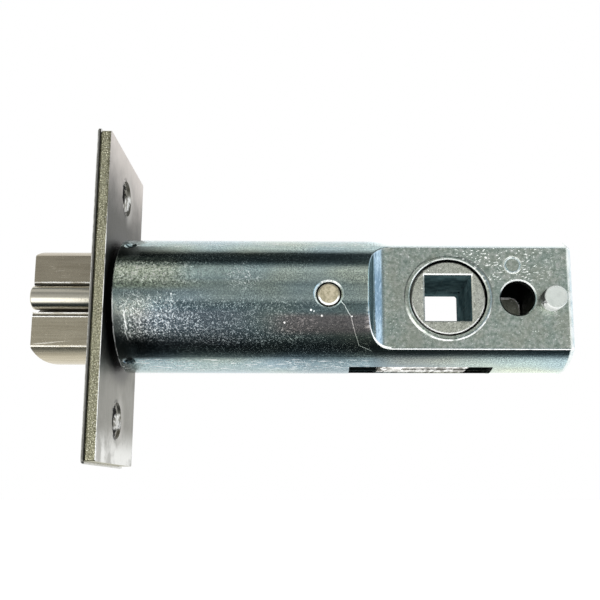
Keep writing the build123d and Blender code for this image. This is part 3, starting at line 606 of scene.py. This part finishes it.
def on_bolt(a):
    """Painted highlights and shade beside the plunger's groove and along the flat's edges, the lower side painted
    lighter than the upper; light rub marks.
    """
    X, Y, Z = a.sep(a.co)
    fl = a.rng(Y, -5.75 * MM, -5.9 * MM)
    br = a.rng(a.noise(1.0, 2.0, 0.5, vec=a.map(scale=(350, 1500, 1500))), 0.32, 0.48, 0.35, 1.0)
    # painted light: lower side of the bolt lighter, upper side darker
    a.shade(a.mix(a.rng(Z, 3 * MM, -3 * MM), (0.93, 0.92, 0.90), (1.18, 1.18, 1.14)))
    # ledges beside the groove: painted shade and a thin painted highlight above, painted highlights and shade on the
    # edges below; a painted highlight along the flat's lower edge
    deep = a.rng(Y, -5.55 * MM, -5.7 * MM)
    a.lay(a.mul(a.band(Z, 2.36 * MM, 2.74 * MM, 0.04 * MM), deep, 0.9), (0.05, 0.045, 0.035), 0.5)
    a.lay(a.mul(a.band(Z, 2.84 * MM, 2.98 * MM, 0.04 * MM), deep, br, 0.8), WHITE, 0.4, 0.15)
    a.lay(a.mul(a.band(Z, -2.58 * MM, -2.30 * MM, 0.05 * MM), a.rng(Y, -5.2 * MM, -5.4 * MM), br, 0.75), WHITE, 0.4, 0.15)
    a.lay(a.mul(a.band(Z, -3.02 * MM, -2.80 * MM, 0.04 * MM), deep, 0.8), (0.04, 0.036, 0.028), 0.5)
    a.lay(a.mul(a.band(Z, -3.22 * MM, -3.08 * MM, 0.04 * MM), deep, br, 0.85), WHITE, 0.4, 0.15)
    a.lay(a.mul(a.band(Z, -8.36 * MM, -8.26 * MM, 0.04 * MM), fl, br, 0.9), WHITE, 0.4, 0.15)
    # walls of the groove
    wall = a.mul(a.rng(Y, -5.75 * MM, -5.6 * MM), a.rng(a.math("ABSOLUTE", Z), 2.6 * MM, 2.5 * MM))
    a.lay(wall, (0.16, 0.145, 0.115), 0.4, 0.3)
    rub = a.mul(a.lines((0, 4, 0), 3000, 260, 0.70, 0.05), a.rng(a.noise(260, 1.0), 0.42, 0.6), a.rng(Z, 2 * MM, -2 * MM, 0.35, 1.0))
    a.lay(a.mul(rub, fl, 0.6), (0.86, 0.83, 0.76), 0.4, 0.5)


def on_packing(a):
    """Painted highlights along the upper edge and corner."""
    X, Y, Z = a.sep(a.co)
    d = a.hyp(a.math("SUBTRACT", X, 0.0734), a.math("SUBTRACT", Z, 0.00115))
    arc = a.mul(a.band(d, 1.72 * MM, 2.02 * MM, 0.04 * MM), a.rng(X, 73.3 * MM, 73.5 * MM), a.rng(Z, 1.0 * MM, 1.3 * MM))
    line = a.mul(a.rng(Z, 2.66 * MM, 2.76 * MM), a.rng(X, 73.5 * MM, 73.3 * MM))
    side = a.mul(a.rng(X, 75.12 * MM, 75.18 * MM), a.rng(Z, 1.3 * MM, 1.0 * MM), 0.4)
    left = a.mul(a.rng(Z, 2.3 * MM, 2.6 * MM), a.rng(X, 72.4 * MM, 71.2 * MM))
    a.lay(a.mul(a.top(arc, line, side, left), a.rng(a.noise(600, 2.0), 0.3, 0.5, 0.5, 1.0)), WHITE, 0.45, 0.05)


def on_strip(a):
    """Ragged sheared steel: dark torn places between bright ones."""
    X, Y, Z = a.sep(a.co)
    rag = a.noise(1.0, 4.0, 0.65, vec=a.map(scale=(900, 420, 900)))
    a.lay(a.mul(a.rng(rag, 0.47, 0.52), a.top(a.rng(X, 51.5 * MM, 49 * MM), a.mul(a.band(X, 57 * MM, 64 * MM, 1 * MM), 0.55), 0.15)), (0.08, 0.075, 0.05), 0.5)
    a.lay(a.mul(a.rng(a.noise(2600, 3.0, 0.7), 0.52, 0.58), a.rng(rag, 0.40, 0.55, 0.10, 0.6)), (0.09, 0.085, 0.06), 0.5)
    a.lay(a.mul(a.rng(rag, 0.50, 0.42), 0.8), WHITE, 0.4, 0.2)


def on_plug(a):
    """Painted shade on the part inside the tube, plain casting at the end."""
    X, Y, Z = a.sep(a.co)
    a.lay(a.rng(X, 80.6 * MM, 80.2 * MM), a.mix(a.rng(a.grain, 0.3, 0.7), (0.012, 0.014, 0.013), (0.035, 0.038, 0.036)), 0.5)


def black_plastic():
    a = Mat("black_plastic", 0.0)
    g = a.noise(3500, 3.0, 0.6)
    c = a.noise(240, 2.0)
    col = a.mix(a.rng(c, 0.3, 0.7), (0.016, 0.017, 0.018), (0.035, 0.036, 0.038))
    return a.set(col, a.rng(g, 0.3, 0.7, 0.42, 0.6, False), a.bump(g, 0.25, 0.00008))


mats = {
    "zinc_case": zinc_case(),
    "faceplate_steel": satin("faceplate_steel", (0.42, 0.42, 0.395), (0.56, 0.555, 0.52), 0.30, (900, 900, 160), 0.2, None, 0.3, extra=on_cover),
    "backing_steel": satin("backing_steel", (0.43, 0.417, 0.265), (0.62, 0.60, 0.39), 0.34, (3400, 1200, 500), 0.4, (0.20, 0.19, 0.12), 0.0, 1.0, 0.5, on_backing),
    "dark_steel": satin("dark_steel", (0.020, 0.023, 0.022), (0.05, 0.054, 0.052), 0.42, (600, 600, 600), 0.2),
    "cast_zinc": satin("cast_zinc", (0.26, 0.275, 0.265), (0.40, 0.415, 0.40), 0.40, (500, 500, 500), 0.5, extra=on_hub),
    "hub_zinc": satin("hub_zinc", (0.75, 0.77, 0.65), (0.97, 0.99, 0.85), 0.28, (1400, 1400, 1400), 0.3, (0.36, 0.38, 0.31), 0.8, 0.94, 0.7, on_hub),
    "bright_pin": satin("bright_pin", (0.50, 0.485, 0.42), (0.62, 0.60, 0.53), 0.32, (900, 900, 900), 0.25),
    "nickel_bolt": satin("nickel_bolt", (0.53, 0.475, 0.36), (0.67, 0.61, 0.48), 0.27, (110, 2600, 2600), 0.10, None, 0.12, 1.0, 0.18, on_bolt),
    "spring_steel": satin("spring_steel", (0.36, 0.36, 0.37), (0.55, 0.55, 0.56), 0.30, (900, 900, 900), 0.15),
    "strip_steel": satin("strip_steel", (0.80, 0.79, 0.73), (0.92, 0.91, 0.86), 0.30, (700, 700, 700), 0.4, (0.45, 0.43, 0.36), 0.4, 0.7, 0.4, on_strip),
    "black_plastic": black_plastic(),
}
by_node = {
    "tail_plug": satin("plug_zinc", (0.30, 0.32, 0.31), (0.46, 0.48, 0.465), 0.42, (500, 500, 500), 0.5, None, 0.35, extra=on_plug),
    # the slide is painted dark as shade inside the case
    "retractor": satin("slide_zinc_painted_shade", (0.10, 0.105, 0.095), (0.19, 0.195, 0.18), 0.42, (500, 500, 500), 0.5, None, 0.2),
    "pawl_pin": satin("pin_end", (0.33, 0.295, 0.195), (0.42, 0.38, 0.26), 0.34, (900, 900, 900), 0.3, (0.22, 0.19, 0.12), 0.3, 0.35, 0.5, on_pin),
    # collar: black oxide darkened further as painted shade in the gap behind the faceplate
    "front_collar": satin("collar_black_oxide_and_shade", (0.004, 0.004, 0.004), (0.012, 0.012, 0.011), 0.5, (600, 600, 600), 0.2),
    "packing_plate": satin("packing_steel", (0.13, 0.14, 0.11), (0.30, 0.31, 0.25), 0.55, (900, 900, 900), 0.3, None, 0.5, 0.0, 0.4, on_packing),
    "tail_peg": satin("peg_end", (0.42, 0.45, 0.42), (0.55, 0.58, 0.545), 0.36, (700, 700, 700), 0.2, (0.45, 0.46, 0.44), 0.3, 0.2, 0.3, on_peg),
    "deadlock_plunger": satin("plunger_nickel", (0.72, 0.68, 0.56), (0.86, 0.82, 0.70), 0.13, (90, 2600, 2600), 0.08, None, 0.1, 1.0, 0.12),
}
slot_of = {s["node"]: s["material_slot"] for s in frame["record"]["subparts"]}
for name, o in frame["nodes"].items():
    o.data.materials.clear()
    o.data.materials.append(by_node.get(name) or mats[slot_of[name]])


# ------------------------------------------------------- square socket of the hub
def socket_shade():
    """Painted shade on the broached walls of the square socket: dark and dull."""
    a = Mat("socket_shade", 0.0)
    a.p.inputs["Specular IOR Level"].default_value = 0.0
    n = a.noise(380, 3.0, 0.6)
    g = a.noise(1.0, 3.0, 0.6, vec=a.map(scale=(1800, 120, 1800)))
    col = a.mix(a.rng(n, 0.35, 0.65), (0.034, 0.064, 0.070), (0.090, 0.150, 0.158))
    col = a.mix(a.rng(g, 0.60, 0.72, 0.0, 0.5), col, (0.16, 0.21, 0.21))
    return a.set(col, 0.7, a.bump(g, 0.15, 0.0001))


socket = socket_shade()
for node in ("hub_cam", "hub_bush_near", "hub_bush_far"):
    src = frame["nodes"][node]
    me = src.data.copy()
    me.name = node + "_faced"
    me.materials.append(socket)
    for f in me.polygons:
        inside = max(abs(f.center.x - 0.060 - SX), abs(f.center.z)) < 0.00408
        f.material_index = 1 if inside and abs(f.normal.y) < 0.3 else 0
    o = bpy.data.objects.new(node + "_faced", me)
    scene.collection.objects.link(o)
    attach(o, "hub")
    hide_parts(node)


# ----------------------------------------------------------------- coil springs
def coil(name, radius, wire, x0, x1, turns, y=0.0, z=0.0, dead=1.0, sides=10, per_turn=28):
    """A compression spring along X with closed end coils, in metres."""
    total = turns + 2 * dead
    n = int(total * per_turn) + 1
    span = (x1 - x0) - 2 * wire
    flat = dead * 2 * wire * 1.04
    pts = []
    for i in range(n):
        t = i / (n - 1) * total
        if t < dead:
            x = t * 2 * wire * 1.04
        elif t > total - dead:
            x = span - (total - t) * 2 * wire * 1.04
        else:
            x = flat + (t - dead) / turns * (span - 2 * flat)
        a = t * 2 * math.pi
        pts.append(Vector((x0 + wire + x, y + radius * math.cos(a), z + radius * math.sin(a))))
    verts, faces = [], []
    for i, p in enumerate(pts):
        tan = (pts[min(i + 1, n - 1)] - pts[max(i - 1, 0)]).normalized()
        rad = (p - Vector((p.x, y, z))).normalized()
        rad = (rad - tan * rad.dot(tan)).normalized()
        bi = tan.cross(rad)
        for k in range(sides):
            c = 2 * math.pi * k / sides
            verts.append(p + (rad * math.cos(c) + bi * math.sin(c)) * wire)
    for i in range(n - 1):
        for k in range(sides):
            k2 = (k + 1) % sides
            faces.append((i * sides + k, i * sides + k2, (i + 1) * sides + k2, (i + 1) * sides + k))
    faces.append(tuple(range(sides))[::-1])
    faces.append(tuple((n - 1) * sides + k for k in range(sides)))
    me = bpy.data.meshes.new(name)
    me.from_pydata([tuple(v) for v in verts], [], faces)
    me.polygons.foreach_set("use_smooth", [True] * len(faces))
    me.update()
    o = bpy.data.objects.new(name, me)
    scene.collection.objects.link(o)
    me.materials.append(mats["spring_steel"])
    return o


for node, args, joint, keep in (
        ("bolt_spring", (0.00265, 0.0004, 0.00855 + SX, 0.02395 + SX, 3.6), "bolt_slide", 0.26),
        ("plunger_spring", (0.0013, 0.00018, 0.00855 + SX, 0.02395 + SX, 9.0, -0.0048, 0.0), "plunger_slide", 0.265)):
    o = coil(node + "_wire", *args)
    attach(o, "case")
    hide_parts(node)
    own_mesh(o)


# ------------------------------------------------------------- light and stage
def studio():
    w = bpy.data.worlds.new("studio")
    scene.world = w
    w.use_nodes = True
    nt = w.node_tree
    nt.nodes.clear()
    N, L = nt.nodes.new, nt.links.new
    tc = N("ShaderNodeTexCoord")
    sep = N("ShaderNodeSeparateXYZ")
    L(tc.outputs["Generated"], sep.inputs[0])
    neg = N("ShaderNodeMath"); neg.operation = "MULTIPLY"; neg.inputs[1].default_value = -1.0
    L(sep.outputs["Y"], neg.inputs[0])
    ang = N("ShaderNodeMath"); ang.operation = "ARCTAN2"
    L(sep.outputs["Z"], ang.inputs[0]); L(neg.outputs[0], ang.inputs[1])
    fac = N("ShaderNodeMapRange")
    fac.inputs["From Min"].default_value = -math.pi
    fac.inputs["From Max"].default_value = math.pi
    L(ang.outputs[0], fac.inputs["Value"])
    ramp = N("ShaderNodeValToRGB")
    def fill(ramp, stops, gain=1.0):
        el = ramp.color_ramp.elements
        while len(el) < len(stops):
            el.new(0.5)
        for e, (deg, v) in zip(el, stops):
            e.position = (deg + 180) / 360
            k = max(0.0, 1.0 - v / 0.35)
            v *= gain
            e.color = (v * (1 - 0.10 * k), v * (1 + 0.12 * k), v * (1 + 0.22 * k), 1.0)

    fill(ramp, [(-180, 1.05), (-154, 0.82), (-124, 0.78), (-113, 0.50), (-107, 0.16), (-102, 0.05), (-93, 0.014), (-84, 0.009),
                (-76, 0.018), (-68, 0.035), (-61, 0.06), (-53, 0.09), (-46, 0.13), (-18, 0.165), (-11, 0.125), (-5, 0.13), (2, 0.43),
                (8, 0.31), (24, 0.30), (26.5, 0.17), (29, 0.31), (47, 0.44), (55, 0.55), (60, 0.36), (63, 0.21), (66, 0.07),
                (72, 0.022), (92, 0.02), (99, 0.40), (105, 0.74), (121, 0.78), (145, 1.07)])
    L(fac.outputs[0], ramp.inputs["Fac"])
    # the room in front of the bolt: a lamp below eye height
    ramp2 = N("ShaderNodeValToRGB")
    fill(ramp2, [(-180, 1.05), (-151, 0.98), (-125, 0.85), (-112, 0.50), (-106, 0.16), (-98, 0.04), (-84, 0.02), (-74, 0.05), (-66, 0.14),
                 (-60, 0.45), (-52, 1.15), (-45, 1.7), (-20, 1.8), (-10, 0.9), (0, 0.55), (10, 0.46), (25, 0.36), (38, 0.30), (52, 0.45),
                 (68, 0.60), (78, 0.46), (86, 0.20), (92, 0.10), (97, 0.32), (105, 0.70), (121, 0.85), (145, 1.07)])
    L(fac.outputs[0], ramp2.inputs["Fac"])

    def span(out, lo, hi):
        m = N("ShaderNodeMapRange"); m.interpolation_type = "SMOOTHSTEP"
        m.inputs["From Min"].default_value = lo
        m.inputs["From Max"].default_value = hi
        L(out, m.inputs["Value"])
        return m.outputs[0]

    def both(u, v):
        m = N("ShaderNodeMath"); m.operation = "MULTIPLY"
        L(u, m.inputs[0]); L(v, m.inputs[1])
        return m.outputs[0]

    def over(fac_, under, tone):
        m = N("ShaderNodeMix"); m.data_type = "RGBA"
        L(fac_, m.inputs[0]); L(under, m.inputs[6])
        if isinstance(tone, tuple):
            m.inputs[7].default_value = (*tone, 1.0)
        else:
            L(tone, m.inputs[7])
        return m.outputs[2]

    x, y = sep.outputs["X"], sep.outputs["Y"]
    ramp3 = N("ShaderNodeValToRGB")
    fill(ramp3, [(-180, 1.05), (-154, 0.82), (-124, 0.78), (-113, 0.66), (-108, 0.43), (-104.5, 0.21), (-101, 0.05), (-93, 0.014), (-84, 0.009),
                 (-76, 0.018), (-68, 0.035), (-61, 0.06), (-53, 0.09), (-46, 0.13), (-18, 0.165), (-11, 0.125), (-5, 0.13), (2, 0.43),
                 (8, 0.31), (24, 0.30), (26.5, 0.17), (29, 0.31), (47, 0.44), (55, 0.55), (60, 0.36), (63, 0.21), (66, 0.07),
                 (92, 0.02), (99, 0.40), (105, 0.74), (121, 0.78), (145, 1.07)], 1.37)
    L(fac.outputs[0], ramp3.inputs["Fac"])
    last = over(span(x, 0.055, 0.085), ramp.outputs["Color"], ramp3.outputs["Color"])
    last = over(span(x, -0.252, -0.295), last, ramp2.outputs["Color"])
    # towards the ends of the tube the room is plain and pale; far to the right a blue-white window
    last = over(span(x, -0.72, -0.93), last, (0.62, 0.62, 0.60))
    last = over(both(span(x, 0.68, 0.78), span(y, 0.40, 0.26)), last, (0.66, 0.84, 1.08))
    bg = N("ShaderNodeBackground")
    bg.inputs["Strength"].default_value = 1.0
    L(last, bg.inputs["Color"])
    white = N("ShaderNodeBackground")
    white.inputs["Color"].default_value = (1, 1, 1, 1)
    white.inputs["Strength"].default_value = 1.0
    lp = N("ShaderNodeLightPath")
    mx = N("ShaderNodeMixShader")
    L(lp.outputs["Is Camera Ray"], mx.inputs["Fac"])
    L(bg.outputs[0], mx.inputs[1]); L(white.outputs[0], mx.inputs[2])
    out = N("ShaderNodeOutputWorld")
    L(mx.outputs[0], out.inputs["Surface"])


studio()


def area(name, loc, target, size, power, color=(1, 1, 1)):
    d = bpy.data.lights.new(name, "AREA")
    d.shape = "RECTANGLE"
    d.size, d.size_y = size
    d.energy = power
    d.color = color
    o = bpy.data.objects.new(name, d)
    scene.collection.objects.link(o)
    o.location = loc
    o.rotation_euler = (Vector(target) - Vector(loc)).to_track_quat("-Z", "Y").to_euler()
    o.visible_camera = False
    return o


mid = (0.035, 0, 0)
for nm, loc, size, power in (("front", (0.02, -0.50, 0.06), (0.40, 0.30), 1.5), ("under", (0.06, -0.34, -0.30), (0.40, 0.25), 0.65)):
    k = area(nm, loc, mid, size, power)
    k.visible_glossy = False

# floor: a wide pale sheet well below the held part
fm = Mat("floor_paper", 0.0)
fg = fm.noise(900, 3.0, 0.6)
fm.p.inputs["Specular IOR Level"].default_value = 0.1
fm.p.inputs["Emission Color"].default_value = (1, 1, 1, 1)
fm.p.inputs["Emission Strength"].default_value = 0.75
fm.set(fm.mix(fg, (0.90, 0.90, 0.89), (0.95, 0.95, 0.945)), 0.9, fm.bump(fg, 0.05, 0.0001))
me = bpy.data.meshes.new("floor")
S = 3.0
me.from_pydata([(-S, -S, -0.06), (S, -S, -0.06), (S, S, -0.06), (-S, S, -0.06)], [], [(0, 1, 2, 3)])
floor = bpy.data.objects.new("floor", me)
scene.collection.objects.link(floor)
me.materials.append(fm.m)
floor.visible_glossy = False

# ---------------------------------------------------------------------- camera
yaw, pitch, roll, f_px = -0.01, -0.172, 0.001, 793.765
ppx, ppy = 325.92, 356.235
cy_, sy_, cp_, sp_, cr_, sr_ = math.cos(yaw), math.sin(yaw), math.cos(pitch), math.sin(pitch), math.cos(roll), math.sin(roll)
B = Matrix(((1, 0, 0), (0, 0, -1), (0, 1, 0)))
Ry = Matrix(((cy_, 0, sy_), (0, 1, 0), (-sy_, 0, cy_)))
Rp = Matrix(((1, 0, 0), (0, cp_, -sp_), (0, sp_, cp_)))
Rr = Matrix(((cr_, -sr_, 0), (sr_, cr_, 0), (0, 0, 1)))
R = Rr @ Rp @ Ry @ B
right, down, fwd = R[0], R[1], R[2]
cam = bpy.data.objects.new("camera", bpy.data.cameras.new("camera"))
scene.collection.objects.link(cam)
cam.matrix_world = Matrix((
    (right.x, -down.x, -fwd.x, 0.037691 + SX),
    (right.y, -down.y, -fwd.y, -0.13989),
    (right.z, -down.z, -fwd.z, -0.033198),
    (0, 0, 0, 1)))
cam.data.sensor_width = 36.0
cam.data.sensor_fit = "HORIZONTAL"
cam.data.lens = 36.0 * f_px / 600.0
cam.data.shift_x = (300 - ppx) / 600.0
cam.data.shift_y = (ppy - 300) / 600.0
cam.data.clip_start = 0.005
cam.data.clip_end = 20.0
cam.data.dof.use_dof = False
scene.camera = cam

scene.view_settings.view_transform = "Standard"
scene.view_settings.look = "None"
